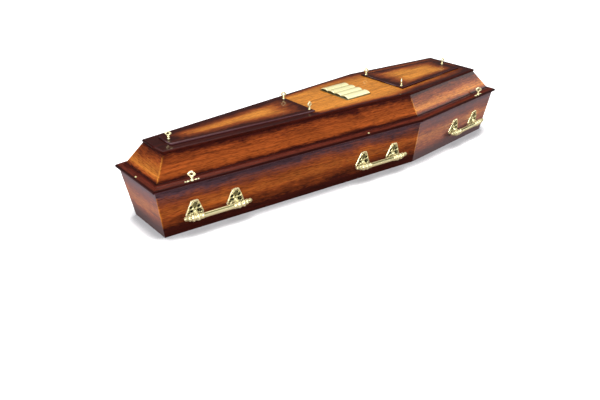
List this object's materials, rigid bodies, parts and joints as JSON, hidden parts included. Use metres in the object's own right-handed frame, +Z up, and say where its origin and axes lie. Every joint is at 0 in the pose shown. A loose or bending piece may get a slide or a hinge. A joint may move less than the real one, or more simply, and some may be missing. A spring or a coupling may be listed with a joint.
{
  "type": "wooden coffin",
  "caption": "Six-sided wooden coffin with a raised hipped lid, moulded rim, applied panels, glossy sunburst lacquer and cast brass handles, screws and open book.",
  "frame": {"origin": "middle of the underside of the box, on the plane that it stands on", "axes": "+Z up, X along the coffin with the head end at +X and the foot end at -X, Y across"},
  "size_m": [2.1, 0.6224, 0.4026],
  "materials": {
    "lacquered_wood": "high-gloss lacquer, sprayed from amber in the middle of each board to near black at its edges",
    "dark_lacquered_wood": "high-gloss dark red-brown lacquer",
    "polished_brass": "cast, polished and clear-coated pale brass"
  },
  "bodies": {
    "root": {"left_long_box_board": "lacquered_wood", "left_long_lid_slope": "lacquered_wood", "left_short_box_board": "lacquered_wood", "left_short_lid_slope": "lacquered_wood", "head_box_board": "lacquered_wood", "head_lid_slope": "lacquered_wood", "right_short_box_board": "lacquered_wood", "right_short_lid_slope": "lacquered_wood", "right_long_box_board": "lacquered_wood", "right_long_lid_slope": "lacquered_wood", "foot_box_board": "lacquered_wood", "foot_lid_slope": "lacquered_wood", "floor_board": "lacquered_wood", "lid_top_board": "lacquered_wood", "leg_panel": "lacquered_wood", "chest_panel": "lacquered_wood", "left_long_rim_moulding": "dark_lacquered_wood", "left_short_rim_moulding": "dark_lacquered_wood", "head_rim_moulding": "dark_lacquered_wood", "right_short_rim_moulding": "dark_lacquered_wood", "right_long_rim_moulding": "dark_lacquered_wood", "foot_rim_moulding": "dark_lacquered_wood", "left_foot_handle_bracket_1": "polished_brass", "left_foot_handle_bracket_2": "polished_brass", "left_foot_handle_bar": "polished_brass", "left_middle_handle_bracket_1": "polished_brass", "left_middle_handle_bracket_2": "polished_brass", "left_middle_handle_bar": "polished_brass", "left_head_handle_bracket_1": "polished_brass", "left_head_handle_bracket_2": "polished_brass", "left_head_handle_bar": "polished_brass", "left_foot_rim_screw_plate": "polished_brass", "left_foot_rim_screw": "polished_brass", "left_head_rim_screw_plate": "polished_brass", "left_head_rim_screw": "polished_brass", "left_rim_cap": "polished_brass", "right_foot_handle_bracket_1": "polished_brass", "right_foot_handle_bracket_2": "polished_brass", "right_foot_handle_bar": "polished_brass", "right_middle_handle_bracket_1": "polished_brass", "right_middle_handle_bracket_2": "polished_brass", "right_middle_handle_bar": "polished_brass", "right_head_handle_bracket_1": "polished_brass", "right_head_handle_bracket_2": "polished_brass", "right_head_handle_bar": "polished_brass", "right_foot_rim_screw_plate": "polished_brass", "right_foot_rim_screw": "polished_brass", "right_head_rim_screw_plate": "polished_brass", "right_head_rim_screw": "polished_brass", "right_rim_cap": "polished_brass", "foot_rim_cap": "polished_brass", "head_rim_cap": "polished_brass", "open_book": "polished_brass", "leg_panel_end_screw": "polished_brass", "leg_panel_left_screw": "polished_brass", "leg_panel_right_screw": "polished_brass", "chest_panel_left_screw": "polished_brass", "chest_panel_right_screw": "polished_brass", "chest_panel_end_screw": "polished_brass"}
  },
  "joints": []
}
